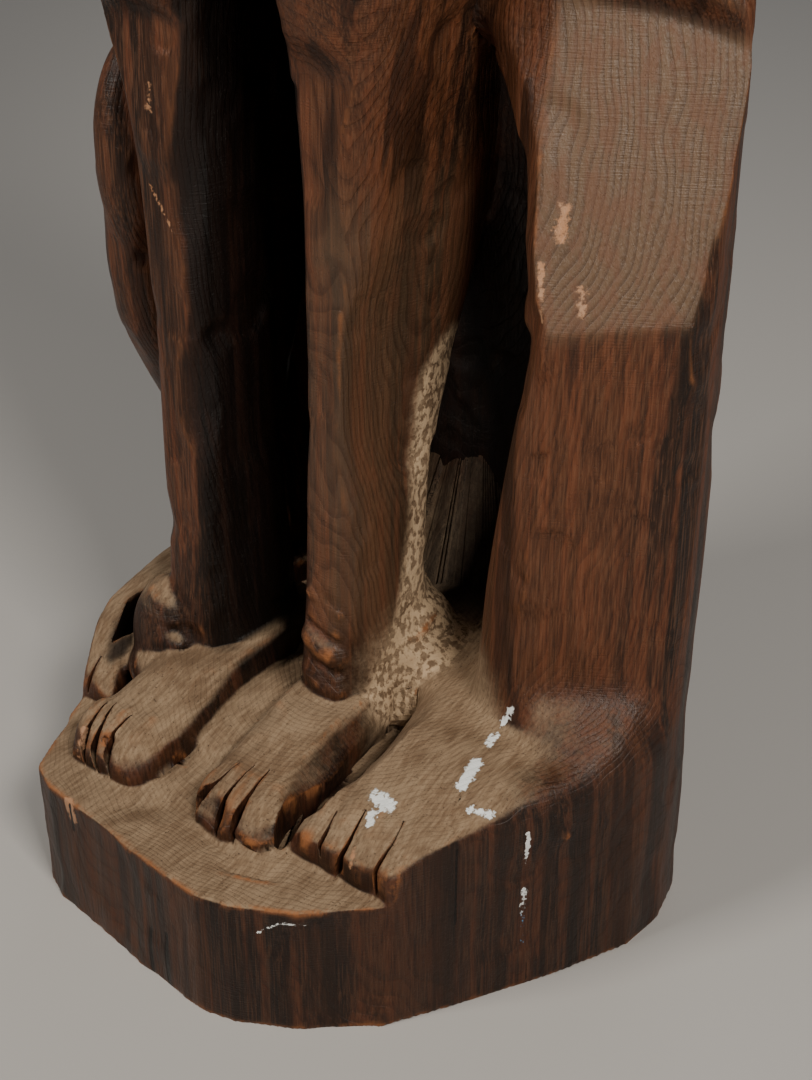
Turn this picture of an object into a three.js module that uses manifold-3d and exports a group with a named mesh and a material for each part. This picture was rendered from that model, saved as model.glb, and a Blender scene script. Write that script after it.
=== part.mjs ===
// A seated hound carved with its plinth out of one log. Millimetres, +Z up, the hound faces -Y.
// Every member is a closed body; neighbours stand GAP apart, so the shared frame has no overlaps.
import * as THREE from "three";
import { mergeVertices } from "three/addons/utils/BufferGeometryUtils.js";
import Module from "manifold-3d";

const wasm = await Module();
wasm.setup();

// Driving dimensions.
const GAP = 0.3;
const PLINTH_HEIGHT = 66;
const LOG_HEIGHT = 620;
const FOREHAND_MIDLINE = -32;
const WIDE_STANCE = 6;
const RIGHT_LEG_LEAD = 6;
const PAW_SWING = 14;
const PAW_HEEL = 20;
const PAW_LENGTH = 120;
const WRIST_HEIGHT = 98;
const FOOT_TOP = 104;
const KNEE_HEIGHT = 305;
const CHEST_HEIGHT = 405;
const NECK_HEIGHT = 664;
const AROUND = 20;
const RINGS_PER_STATION = 1.6;
const CLAW_SLIT = 3.4;
const TRENCH = 2.5;

const UP = new THREE.Vector3(0, 0, 1);
const FORWARD = new THREE.Vector3(0, -1, 0);

// The log, hewn to flats: corners walked anticlockwise from the front left.
const LOG_OUTLINE = [
  [-92, -131], [-77, -138], [-46, -142], [-16, -147], [26, -151], [42, -147], [68, -133], [94, -110],
  [114, -76], [134, -39], [151, 0], [152, 22], [146, 46], [128, 74], [104, 104], [72, 132], [30, 150],
  [-18, 156], [-64, 149], [-104, 127], [-130, 90], [-142, 46], [-143, 4], [-134, -42], [-116, -84],
];

function solidOf(geometry) {
  geometry.deleteAttribute("normal");
  geometry.deleteAttribute("uv");
  const merged = mergeVertices(geometry, 1e-4);
  const mesh = new wasm.Mesh({
    numProp: 3,
    vertProperties: Float32Array.from(merged.attributes.position.array),
    triVerts: Uint32Array.from(merged.index.array),
  });
  return new wasm.Manifold(mesh);
}

function geometryOf(solid) {
  const mesh = solid.getMesh();
  const geometry = new THREE.BufferGeometry();
  geometry.setAttribute("position", new THREE.BufferAttribute(mesh.vertProperties, 3));
  geometry.setIndex(new THREE.BufferAttribute(mesh.triVerts, 1));
  geometry.computeVertexNormals();
  return geometry;
}

// The log trunk between two heights, its sides moved out by `grow`.
function logTrunk(bottom, top, grow = 0) {
  const outline = LOG_OUTLINE.map(([x, y]) => {
    const corner = new THREE.Vector2(x, y);
    return corner.setLength(corner.length() + grow);
  });
  const trunk = new THREE.ExtrudeGeometry(new THREE.Shape(outline), {
    depth: top - bottom,
    bevelEnabled: false,
  });
  trunk.translate(0, 0, bottom);
  return solidOf(trunk);
}

// A member lofted through its stations. Each station gives a centre, the full width and depth of the ring
// there and how square the ring is (2 is an ellipse). `across` is the normal all rings share; without it
// the rings stay square to the path.
function loft({ stations, across = null, reference = new THREE.Vector3(0, 1, 0) }, grow = 0) {
  const centres = stations.map((s) => new THREE.Vector3(s.x, s.y, s.z));
  const sizes = stations.map((s) => new THREE.Vector3(s.wide, s.deep, s.square ?? 2.6));
  const path = new THREE.CatmullRomCurve3(centres, false, "catmullrom", 0.5);
  const size = new THREE.CatmullRomCurve3(sizes, false, "catmullrom", 0.5);
  const rings = Math.round((stations.length - 1) * RINGS_PER_STATION);
  const cylinder = new THREE.CylinderGeometry(1, 1, 1, AROUND, rings);
  const position = cylinder.attributes.position;
  for (let i = 0; i < position.count; i += 1) {
    const t = THREE.MathUtils.clamp(position.getY(i) + 0.5, 0, 1);
    const radius = Math.hypot(position.getX(i), position.getZ(i));
    const angle = Math.atan2(-position.getZ(i), position.getX(i));
    const centre = path.getPoint(t);
    const ring = size.getPoint(t);
    const tangent = across ?? path.getTangent(t);
    const side = new THREE.Vector3().crossVectors(reference, tangent).normalize();
    const deepward = new THREE.Vector3().crossVectors(tangent, side).normalize();
    const power = 2 / ring.z;
    const u = Math.sign(Math.cos(angle)) * Math.abs(Math.cos(angle)) ** power;
    const v = Math.sign(Math.sin(angle)) * Math.abs(Math.sin(angle)) ** power;
    centre.addScaledVector(side, u * radius * (ring.x / 2 + grow));
    centre.addScaledVector(deepward, v * radius * (ring.y / 2 + grow));
    centre.addScaledVector(tangent, Math.sign(t - 0.5) * grow * (t === 0 || t === 1 ? 1 : 0));
    position.setXYZ(i, centre.x, centre.y, centre.z);
  }
  return solidOf(cylinder);
}

// Half of space above a sloping plane through (0, y, z); `fall` is how far it drops per mm towards the back.
function above(height, fall = 0, atY = 0) {
  const size = 2400;
  const block = new THREE.BoxGeometry(size, size, size);
  block.translate(0, 0, size / 2);
  block.rotateX(-Math.atan(fall));
  block.translate(0, atY, height);
  return solidOf(block);
}

// A claw slit: a wedge, blade down, standing across the front of a paw.
function slit(x, y, z, length, height, turn) {
  const blade = new THREE.CylinderGeometry(CLAW_SLIT, CLAW_SLIT, length, 3, 1);
  blade.scale(0.6, 1, height / CLAW_SLIT / 1.5);
  blade.rotateZ(turn);
  blade.translate(x, y, z);
  return solidOf(blade);
}

// Forehand tables are written for the left side, measured from the midline between the forelegs.
const FORELEG = [
  { x: 36, y: -8, z: WRIST_HEIGHT - 12, wide: 41, deep: 74, square: 2.6 },
  { x: 36, y: -8, z: 116, wide: 38, deep: 70, square: 2.7 },
  { x: 37, y: -8, z: 150, wide: 35, deep: 62, square: 3.4 },
  { x: 38, y: -8, z: 190, wide: 33, deep: 60, square: 4 },
  { x: 39, y: 0, z: 240, wide: 32, deep: 74, square: 4 },
  { x: 40, y: 11, z: 300, wide: 36, deep: 98, square: 3.6 },
  { x: 42, y: 15, z: 355, wide: 46, deep: 108, square: 3.2 },
  { x: 45, y: 4, z: 410, wide: 60, deep: 108, square: 2.9 },
  { x: 50, y: -14, z: 470, wide: 64, deep: 114, square: 2.6 },
  { x: 50, y: -24, z: 530, wide: 60, deep: 106, square: 2.4 },
  { x: 42, y: -20, z: 585, wide: 46, deep: 80, square: 2.2 },
  { x: 30, y: -12, z: 622, wide: 26, deep: 44, square: 2 },
];

const FOREPAW = [
  { x: 40, y: 30, z: 80, wide: 26, deep: 34, square: 2.4 },
  { x: 37, y: 18, z: 86, wide: 38, deep: 46, square: 2.4 },
  { x: 37, y: -10, z: 88, wide: 42, deep: 50, square: 2.4 },
  { x: 39, y: -42, z: 84, wide: 43, deep: 46, square: 2.4 },
  { x: 41, y: -72, z: 78, wide: 47, deep: 36, square: 2.6 },
  { x: 44, y: -96, z: 74, wide: 49, deep: 31, square: 2.8 },
  { x: 46, y: -110, z: 71, wide: 46, deep: 25, square: 2.8 },
  { x: 46, y: -117, z: 69, wide: 36, deep: 12, square: 2.6 },
];

const LEFT_HIND_FOOT = [
  { x: 106, y: 112, z: 78, wide: 62, deep: 60, square: 3 },
  { x: 108, y: 60, z: 78, wide: 98, deep: 66, square: 3 },
  { x: 104, y: 0, z: 78, wide: 130, deep: 72, square: 3.4 },
  { x: 102, y: -38, z: 76, wide: 126, deep: 66, square: 3.6 },
  { x: 98, y: -66, z: 74, wide: 118, deep: 52, square: 3.8 },
  { x: 88, y: -90, z: 70, wide: 98, deep: 42, square: 3.6 },
  { x: 76, y: -106, z: 68, wide: 72, deep: 26, square: 3 },
];

const RIGHT_HIND_FOOT = [
  { x: -112, y: 104, z: 78, wide: 56, deep: 58, square: 3 },
  { x: -114, y: 60, z: 78, wide: 70, deep: 60, square: 3 },
  { x: -122, y: 14, z: 76, wide: 56, deep: 62, square: 2.8 },
  { x: -126, y: -22, z: 76, wide: 36, deep: 54, square: 2.6 },
  { x: -123, y: -52, z: 74, wide: 32, deep: 48, square: 2.6 },
  { x: -114, y: -70, z: 70, wide: 30, deep: 34, square: 2.4 },
  { x: -107, y: -80, z: 68, wide: 22, deep: 16, square: 2.2 },
];

const LEFT_SHANK = [
  { x: 106, y: 50, z: FOOT_TOP - 8, wide: 102, deep: 142, square: 3.2 },
  { x: 107, y: 50, z: 140, wide: 98, deep: 138, square: 3.4 },
  { x: 109, y: 52, z: 190, wide: 90, deep: 140, square: 3.4 },
  { x: 113, y: 52, z: 240, wide: 80, deep: 148, square: 3 },
  { x: 118, y: 54, z: 290, wide: 72, deep: 154, square: 2.8 },
  { x: 118, y: 58, z: 340, wide: 72, deep: 150, square: 2.8 },
];

const RIGHT_SHANK = [
  { x: -118, y: 66, z: FOOT_TOP - 8, wide: 70, deep: 92, square: 3 },
  { x: -118, y: 66, z: 140, wide: 66, deep: 92, square: 3 },
  { x: -122, y: 60, z: 190, wide: 52, deep: 114, square: 2.8 },
  { x: -124, y: 50, z: 235, wide: 46, deep: 144, square: 2.8 },
  { x: -124, y: 48, z: 285, wide: 46, deep: 152, square: 2.8 },
  { x: -122, y: 52, z: 340, wide: 48, deep: 146, square: 2.8 },
];

const LEFT_THIGH = [
  { x: 116, y: 58, z: 170, wide: 80, deep: 150, square: 2.8 },
  { x: 116, y: 58, z: 230, wide: 78, deep: 156, square: 2.8 },
  { x: 117, y: 58, z: 288, wide: 76, deep: 162, square: 2.7 },
  { x: 112, y: 62, z: 322, wide: 82, deep: 162, square: 2.6 },
  { x: 105, y: 68, z: 362, wide: 96, deep: 144, square: 2.8 },
  { x: 84, y: 74, z: 404, wide: 132, deep: 124, square: 2.8 },
  { x: 72, y: 82, z: 445, wide: 122, deep: 104, square: 2.7 },
  { x: 56, y: 86, z: 495, wide: 84, deep: 72, square: 2.4 },
  { x: 30, y: 84, z: 540, wide: 46, deep: 40, square: 2.2 },
];

const RIGHT_THIGH = [
  { x: -114, y: 54, z: 170, wide: 72, deep: 136, square: 2.8 },
  { x: -124, y: 52, z: 230, wide: 48, deep: 152, square: 2.6 },
  { x: -123, y: 52, z: 285, wide: 50, deep: 156, square: 2.5 },
  { x: -113, y: 60, z: 325, wide: 66, deep: 146, square: 2.5 },
  { x: -99, y: 70, z: 360, wide: 84, deep: 130, square: 2.6 },
  { x: -94, y: 78, z: 400, wide: 92, deep: 114, square: 2.6 },
  { x: -88, y: 84, z: 445, wide: 88, deep: 94, square: 2.6 },
  { x: -74, y: 86, z: 495, wide: 72, deep: 70, square: 2.4 },
  { x: -52, y: 84, z: 540, wide: 44, deep: 40, square: 2.2 },
];

const LOIN = [
  { x: -10, y: 112, z: PLINTH_HEIGHT - 6, wide: 150, deep: 72, square: 2.6 },
  { x: -6, y: 112, z: 130, wide: 174, deep: 76, square: 2.8 },
  { x: -4, y: 110, z: 210, wide: 192, deep: 82, square: 2.8 },
  { x: -6, y: 106, z: 290, wide: 196, deep: 88, square: 2.8 },
  { x: -12, y: 97, z: 350, wide: 190, deep: 98, square: 2.7 },
  { x: -22, y: 80, z: 400, wide: 176, deep: 122, square: 2.5 },
  { x: -25, y: 56, z: 440, wide: 172, deep: 160, square: 2.5 },
];

const RIBCAGE = [
  { x: -20, y: 84, z: 370, wide: 166, deep: 96, square: 2.5 },
  { x: -24, y: 62, z: 412, wide: 166, deep: 134, square: 2.5 },
  { x: -28, y: 30, z: 450, wide: 164, deep: 190, square: 2.4 },
  { x: -30, y: 14, z: 500, wide: 160, deep: 206, square: 2.3 },
  { x: -30, y: 10, z: 560, wide: 150, deep: 194, square: 2.2 },
  { x: -30, y: 12, z: 615, wide: 128, deep: 170, square: 2.2 },
  { x: -30, y: 14, z: 660, wide: 104, deep: 142, square: 2.2 },
  { x: -30, y: 14, z: 700, wide: 90, deep: 122, square: 2.2 },
];

const NECK = [
  { x: -30, y: 13, z: 640, wide: 112, deep: 152, square: 2.2 },
  { x: -30, y: 14, z: 690, wide: 94, deep: 126, square: 2.2 },
  { x: -30, y: 18, z: 735, wide: 84, deep: 108, square: 2.2 },
  { x: -30, y: 24, z: 780, wide: 80, deep: 98, square: 2.2 },
  { x: -30, y: 28, z: 825, wide: 80, deep: 92, square: 2.2 },
  { x: -30, y: 28, z: 860, wide: 60, deep: 70, square: 2.2 },
];

const SKULL = [
  { x: -30, y: 82, z: 842, wide: 30, deep: 30, square: 2 },
  { x: -30, y: 74, z: 842, wide: 66, deep: 62, square: 2.1 },
  { x: -30, y: 48, z: 846, wide: 98, deep: 88, square: 2.2 },
  { x: -30, y: 10, z: 848, wide: 110, deep: 98, square: 2.3 },
  { x: -30, y: -26, z: 842, wide: 98, deep: 92, square: 2.4 },
  { x: -30, y: -54, z: 832, wide: 74, deep: 72, square: 2.5 },
  { x: -30, y: -76, z: 826, wide: 54, deep: 52, square: 2.5 },
];

const MUZZLE = [
  { x: -30, y: -40, z: 834, wide: 78, deep: 52, square: 2.6 },
  { x: -30, y: -68, z: 832, wide: 66, deep: 46, square: 2.8 },
  { x: -30, y: -98, z: 829, wide: 57, deep: 42, square: 2.8 },
  { x: -30, y: -124, z: 827, wide: 51, deep: 39, square: 2.6 },
  { x: -30, y: -141, z: 826, wide: 43, deep: 34, square: 2.4 },
  { x: -30, y: -149, z: 826, wide: 24, deep: 20, square: 2.2 },
];

const LOWER_JAW = [
  { x: -30, y: -16, z: 800, wide: 68, deep: 34, square: 2.4 },
  { x: -30, y: -50, z: 800, wide: 56, deep: 32, square: 2.6 },
  { x: -30, y: -88, z: 803, wide: 45, deep: 26, square: 2.6 },
  { x: -30, y: -118, z: 805, wide: 37, deep: 22, square: 2.5 },
  { x: -30, y: -134, z: 808, wide: 24, deep: 14, square: 2.2 },
];

// Written for the left ear, measured from the midline of the head.
const EAR = [
  { x: 32, y: 28, z: 893, wide: 14, deep: 36, square: 2.2 },
  { x: 44, y: 26, z: 889, wide: 20, deep: 52, square: 2.4 },
  { x: 55, y: 22, z: 868, wide: 18, deep: 60, square: 2.4 },
  { x: 58, y: 15, z: 842, wide: 15, deep: 56, square: 2.4 },
  { x: 56, y: 8, z: 816, wide: 13, deep: 44, square: 2.2 },
  { x: 52, y: 2, z: 794, wide: 9, deep: 20, square: 2 },
];

const TAIL = [
  { x: -14, y: 140, z: 214, wide: 20, deep: 20, square: 2.2 },
  { x: -15, y: 149, z: 176, wide: 30, deep: 24, square: 2.2 },
  { x: -14, y: 152, z: 130, wide: 30, deep: 24, square: 2.2 },
  { x: -2, y: 151, z: 92, wide: 28, deep: 24, square: 2.2 },
  { x: 34, y: 144, z: 80, wide: 26, deep: 24, square: 2.2 },
  { x: 70, y: 130, z: 77, wide: 22, deep: 22, square: 2.2 },
  { x: 96, y: 114, z: 75, wide: 10, deep: 12, square: 2 },
];

function onMidline(stations, midline, hand) {
  return stations.map((s) => ({ ...s, x: midline + hand * s.x }));
}

// The right foreleg stands wider and a little ahead of the left one.
const rightForeleg = onMidline(FORELEG, FOREHAND_MIDLINE - WIDE_STANCE, -1).map((s) => {
  return { ...s, y: s.y - RIGHT_LEG_LEAD };
});

// The right paw follows the left one's swing instead of mirroring it.
const rightPaw = onMidline(FOREPAW, FOREHAND_MIDLINE, -1).map((s) => {
  const reach = THREE.MathUtils.clamp((PAW_HEEL - s.y) / PAW_LENGTH, 0, 1);
  return { ...s, x: s.x + PAW_SWING * reach };
});

const upright = (stations) => ({ stations, across: UP });
const forward = (stations) => ({ stations, across: FORWARD, reference: UP });

const HEAD_MIDLINE = -30;
const members = {
  left_forepaw: forward(onMidline(FOREPAW, FOREHAND_MIDLINE, 1)),
  right_forepaw: forward(rightPaw),
  left_foreleg: upright(onMidline(FORELEG, FOREHAND_MIDLINE, 1)),
  right_foreleg: upright(rightForeleg),
  left_hind_foot: forward(LEFT_HIND_FOOT),
  right_hind_foot: forward(RIGHT_HIND_FOOT),
  left_shank: upright(LEFT_SHANK),
  right_shank: upright(RIGHT_SHANK),
  left_thigh: upright(LEFT_THIGH),
  right_thigh: upright(RIGHT_THIGH),
  loin: upright(LOIN),
  ribcage: upright(RIBCAGE),
  neck: upright(NECK),
  head: forward(SKULL),
  muzzle: forward(MUZZLE),
  lower_jaw: forward(LOWER_JAW),
  left_ear: { stations: onMidline(EAR, HEAD_MIDLINE, 1) },
  right_ear: { stations: onMidline(EAR, HEAD_MIDLINE, -1) },
  tail: { stations: TAIL },
};

const shape = (name, grow = 0) => loft(members[name], grow);
const overPlinth = above(PLINTH_HEIGHT + GAP);
const kneeFall = 0.62;
const overKnee = above(KNEE_HEIGHT, kneeFall, -20);
const overKneeGap = above(KNEE_HEIGHT - GAP * 1.3, kneeFall, -20);

const solids = {};

solids.plinth = logTrunk(0, PLINTH_HEIGHT);

// Paws: cut flat under, cut off level at the wrist, and slit into four toes.
for (const [side, hand] of [["left", 1], ["right", -1]]) {
  const slits = [35, 45, 55].map((x) => {
    const swing = hand > 0 ? 0 : PAW_SWING;
    return slit(FOREHAND_MIDLINE + hand * x + swing, -110, 84, 32, 22, 0);
  });
  const paw = slits.reduce((solid, tool) => solid.subtract(tool), shape(`${side}_forepaw`));
  solids[`${side}_forepaw`] = paw.intersect(overPlinth).subtract(above(WRIST_HEIGHT));
}

// Hind feet: flush with the log side, level on top under the shank.
const trunk = logTrunk(0, LOG_HEIGHT);
for (const side of ["left", "right"]) {
  const foot = shape(`${side}_hind_foot`).intersect(trunk).intersect(overPlinth);
  const clear = foot.subtract(shape(`${side}_forepaw`, TRENCH));
  solids[`${side}_hind_foot`] = clear.subtract(above(FOOT_TOP));
}
const hindSlits = [[54, -98, -0.05], [69, -101, -0.2], [84, -99, -0.35]];
for (const [x, y, turn] of hindSlits) {
  const tool = slit(x, y, 82, 34, 24, turn);
  solids.left_hind_foot = solids.left_hind_foot.subtract(tool);
}
for (const [x, y, turn] of [[-112, -72, 0.3], [-121, -64, 0.4]]) {
  solids.right_hind_foot = solids.right_hind_foot.subtract(slit(x, y, 82, 24, 20, turn));
}

for (const side of ["left", "right"]) {
  const shank = shape(`${side}_shank`).intersect(trunk).intersect(above(FOOT_TOP + GAP));
  solids[`${side}_shank`] = shank.subtract(overKneeGap);
  solids[`${side}_thigh`] = shape(`${side}_thigh`).intersect(trunk).intersect(overKnee);
}

// The trunk of the body gives way to the haunches, and the forelegs to the trunk.
const hindParts = ["left_shank", "right_shank", "left_thigh", "right_thigh", "left_hind_foot", "right_hind_foot"];
const without = (solid, names) => names.reduce((rest, name) => rest.subtract(shape(name, GAP)), solid);
solids.loin = without(shape("loin").intersect(overPlinth), [...hindParts, "tail"]);
solids.loin = solids.loin.subtract(above(CHEST_HEIGHT - GAP));
solids.ribcage = without(shape("ribcage").intersect(above(CHEST_HEIGHT)), ["left_thigh", "right_thigh"]);
solids.ribcage = solids.ribcage.subtract(above(NECK_HEIGHT - GAP));
for (const side of ["left", "right"]) {
  const leg = shape(`${side}_foreleg`).intersect(above(WRIST_HEIGHT + GAP));
  solids[`${side}_foreleg`] = without(leg, ["ribcage", "loin", `${side}_thigh`, `${side}_shank`]);
}

solids.neck = without(shape("neck").intersect(above(NECK_HEIGHT)), ["head", "lower_jaw"]);
solids.head = without(shape("head"), ["left_ear", "right_ear", "muzzle"]);
solids.muzzle = shape("muzzle");
solids.lower_jaw = without(shape("lower_jaw"), ["muzzle", "head"]);
solids.left_ear = shape("left_ear");
solids.right_ear = shape("right_ear");
solids.tail = without(shape("tail").intersect(overPlinth), ["left_hind_foot"]);

const WOODS = {
  plinth: "#4a2a1a",
  left_forepaw: "#5b3a28",
  right_forepaw: "#5b3a28",
};
const model = new THREE.Group();
for (const [name, solid] of Object.entries(solids)) {
  const parts = solid.decompose();
  const largest = parts.reduce((best, part) => (part.volume() > best.volume() ? part : best));
  const material = new THREE.MeshStandardMaterial({
    color: WOODS[name] ?? "#532c1b",
    roughness: 0.62,
    metalness: 0,
  });
  const mesh = new THREE.Mesh(geometryOf(largest), material);
  mesh.name = name;
  model.add(mesh);
}

export default model;
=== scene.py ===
import math

import bpy
import numpy as np
from mathutils import Matrix, Vector
from mathutils.bvhtree import BVHTree


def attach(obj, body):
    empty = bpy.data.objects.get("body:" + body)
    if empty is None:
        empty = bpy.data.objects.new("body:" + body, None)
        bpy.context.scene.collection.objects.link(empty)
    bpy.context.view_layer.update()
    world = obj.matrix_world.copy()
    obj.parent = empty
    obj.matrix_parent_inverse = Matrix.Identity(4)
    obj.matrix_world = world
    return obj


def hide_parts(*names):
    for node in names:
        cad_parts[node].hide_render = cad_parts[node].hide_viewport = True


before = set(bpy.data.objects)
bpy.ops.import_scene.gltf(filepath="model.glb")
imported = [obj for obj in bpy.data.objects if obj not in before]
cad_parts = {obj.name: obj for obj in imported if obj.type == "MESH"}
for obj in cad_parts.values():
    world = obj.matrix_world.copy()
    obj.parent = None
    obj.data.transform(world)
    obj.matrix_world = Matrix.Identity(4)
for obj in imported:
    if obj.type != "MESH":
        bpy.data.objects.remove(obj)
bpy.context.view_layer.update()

bpy.ops.object.select_all(action="DESELECT")

# ---------------------------------------------------------------- camera
# A tall-format portrait view from the hound's front left, looking down
# on the paws and the near knee.
CAMERA_PLACE = Vector((0.4431, -0.5400, 0.5625))
CAMERA_AZIMUTH = math.radians(38)
CAMERA_PITCH = math.radians(30)
back = Vector((
    math.sin(CAMERA_AZIMUTH) * math.cos(CAMERA_PITCH),
    -math.cos(CAMERA_AZIMUTH) * math.cos(CAMERA_PITCH),
    math.sin(CAMERA_PITCH),
))
right = Vector((math.cos(CAMERA_AZIMUTH), math.sin(CAMERA_AZIMUTH), 0))
above = back.cross(right)
bpy.ops.object.camera_add()
camera = bpy.context.object
camera.name = "camera"
camera.matrix_world = Matrix((
    (right.x, above.x, back.x, CAMERA_PLACE.x),
    (right.y, above.y, back.y, CAMERA_PLACE.y),
    (right.z, above.z, back.z, CAMERA_PLACE.z),
    (0, 0, 0, 1),
))
camera.data.sensor_fit = "VERTICAL"
camera.data.sensor_height = 36
camera.data.lens = 58.7
camera.data.clip_start = 0.01
camera.data.clip_end = 50
bpy.context.scene.camera = camera

# ---------------------------------------------------------------- carver's blank
# The carving is one log, so its members are fused into one skin first: copies
# of them are swelled to touch, with mounds of waste wood left between them,
# and the lot is remeshed. It is parted into its members again at the end.
FINE = 0.0015
SWELL = 0.00025


def as_active(piece):
    bpy.ops.object.select_all(action="DESELECT")
    piece.select_set(True)
    bpy.context.view_layer.objects.active = piece


def apply_modifier(piece, kind, **settings):
    as_active(piece)
    modifier = piece.modifiers.new(kind.title(), kind)
    for key, value in settings.items():
        setattr(modifier, key, value)
    bpy.ops.object.modifier_apply(modifier=modifier.name)


def swelled_copy(node):
    piece = bpy.data.objects.new("blank_" + node.name, node.data.copy())
    bpy.context.collection.objects.link(piece)
    as_active(piece)
    bpy.ops.object.mode_set(mode="EDIT")
    bpy.ops.mesh.select_all(action="SELECT")
    bpy.ops.mesh.remove_doubles(threshold=0.00001)
    bpy.ops.transform.shrink_fatten(value=SWELL)
    bpy.ops.object.mode_set(mode="OBJECT")
    return piece


def mound(x, y, z, wide, deep, high, tilt=0, swing=0):
    """A lump of wood left by the carver: an ellipsoid, placed and measured in millimetres."""
    bpy.ops.object.select_all(action="DESELECT")
    bpy.ops.mesh.primitive_uv_sphere_add(segments=32, ring_count=20, radius=0.5)
    lump = bpy.context.object
    lump.data.transform(
        Matrix.Translation(Vector((x, y, z)) / 1000)
        @ Matrix.Rotation(math.radians(swing), 4, "Z")
        @ Matrix.Rotation(math.radians(tilt), 4, "X")
        @ Matrix.Diagonal((wide / 1000, deep / 1000, high / 1000, 1))
    )
    return lump


blank = [swelled_copy(node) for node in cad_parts.values()]
# Waste wood: under and between the forepaws, behind both wrists, in the crook
# of the near shank and over its instep.
blank.append(mound(-28, -22, 58, 150, 208, 36))
blank.append(mound(-30, -30, 62, 64, 130, 46))
blank.append(mound(-30, 60, 66, 120, 120, 60))
blank.append(mound(38, 34, 74, 84, 96, 78))
blank.append(mound(15, 14, 88, 38, 66, 84))
blank.append(mound(4, 20, 96, 34, 40, 90))
blank.append(mound(96, -22, 82, 92, 84, 40))
blank.append(mound(-119, -8, 322, 36, 56, 110))
blank.append(mound(30, 62, 84, 100, 80, 70))
blank.append(mound(-20, 92, 92, 130, 70, 130))
blank.append(mound(118, -2, 296, 70, 30, 60))
# The far wrist stands out to its left, and the paws spread at their outer toes.
blank.append(mound(-89, -42, 96, 40, 40, 62))
blank.append(mound(-84, -50, 82, 44, 40, 34))
blank.append(mound(-3, -98, 74, 18, 34, 26))
blank.append(mound(-80, -98, 76, 18, 34, 26))
# The head: eyes, brows, cheeks and nose.
for hand in (-1, 1):
    blank.append(mound(-30 + hand * 32, -38, 852, 26, 30, 24, 0, hand * -30))
    blank.append(mound(-30 + hand * 30, -28, 870, 34, 44, 20, -18, hand * -28))
    blank.append(mound(-30 + hand * 36, -8, 822, 42, 66, 46))
    blank.append(mound(-30 + hand * 17, -132, 818, 30, 44, 26))
blank.append(mound(-30, -140, 838, 32, 18, 20))

bpy.ops.object.select_all(action="DESELECT")
for piece in blank:
    piece.select_set(True)
bpy.context.view_layer.objects.active = blank[0]
bpy.ops.object.join()
skin = bpy.context.object
skin.name = "skin"
skin.data.materials.clear()
apply_modifier(skin, "REMESH", mode="VOXEL", voxel_size=FINE)
# A long scoop between the near forepaw and the near hind foot.
scoop = mound(38, -60, 104, 32, 116, 54, 9)
bpy.context.view_layer.update()
apply_modifier(skin, "BOOLEAN", operation="DIFFERENCE", solver="MANIFOLD", object=scoop)
bpy.data.objects.remove(scoop)

# ---------------------------------------------------------------- shaping
# The saw and adze work: the skin is faired, except for the hewn plinth, and
# then planed with broad flats and some thousand small chisel facets.


def places(piece):
    flat = np.empty(len(piece.data.vertices) * 3)
    piece.data.vertices.foreach_get("co", flat)
    return flat.reshape(-1, 3)


def set_places(piece, co):
    piece.data.vertices.foreach_set("co", co.ravel())
    piece.data.update()


def facings(piece):
    flat = np.empty(len(piece.data.vertices) * 3)
    piece.data.vertex_normals.foreach_get("vector", flat)
    return flat.reshape(-1, 3)


def ease(low, high, value):
    t = np.clip((value - low) / (high - low), 0, 1)
    return t * t * (3 - 2 * t)


def fair(piece, weights, rounds, factor=0.5):
    """Smooths a piece as far as each vertex's weight allows."""
    group = piece.vertex_groups.new(name="fair")
    for step in range(1, 11):
        chosen = np.nonzero((weights > (step - 0.5) / 10) & (weights <= (step + 0.5) / 10))[0]
        group.add(chosen.tolist(), step / 10, "REPLACE")
    apply_modifier(piece, "SMOOTH", factor=factor, iterations=rounds, vertex_group="fair")
    piece.vertex_groups.remove(piece.vertex_groups["fair"])


co = places(skin)
x, y, z = co.T
off_plinth = ease(0.069, 0.076, z)
fair(skin, np.full(len(co), 1.0), 3)
fair(skin, off_plinth, 14)
body = ease(0.36, 0.46, z) * (1 - ease(0.78, 0.80, z))
far_knee = (1 - ease(-0.095, -0.075, x)) * ease(0.13, 0.17, z) * (1 - ease(0.40, 0.46, z))
instep = ease(0.030, 0.045, x) * ease(-0.085, -0.060, y) * ease(0.078, 0.09, z) * (1 - ease(0.15, 0.19, z))
crook = ease(0.022, 0.034, x) * (1 - ease(0.09, 0.11, x)) * ease(-0.02, 0.01, y) * (1 - ease(0.2, 0.26, z))
fair(skin, np.maximum.reduce([body, far_knee, instep * off_plinth, crook * off_plinth]), 110)


def plane(co, facing, by_height, point, normal, reach, depth=0, edge=0.25, stock=14):
    """Cuts up to `stock` mm of what stands above a plane within reach of a point, as a chisel does."""
    point = np.array(point) / 1000
    reach = reach / 1000
    normal = np.array(normal, float) / np.linalg.norm(normal)
    order, heights = by_height
    low, high = np.searchsorted(heights, (point[2] - reach, point[2] + reach))
    index = order[low:high]
    away = co[index] - point
    rise = away @ normal
    near = (np.einsum("ij,ij->i", away, away) < reach ** 2) & (facing[index] @ normal > -0.15)
    near &= rise < stock / 1000
    index = index[near]
    rise = rise[near]
    distance = np.linalg.norm(away[near] - np.outer(rise, normal), axis=1)
    share = 1 - ease(1 - edge, 1, distance / reach)
    cut = np.clip(rise + depth / 1000, 0, None) * share
    co[index] -= cut[:, None] * normal


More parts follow.
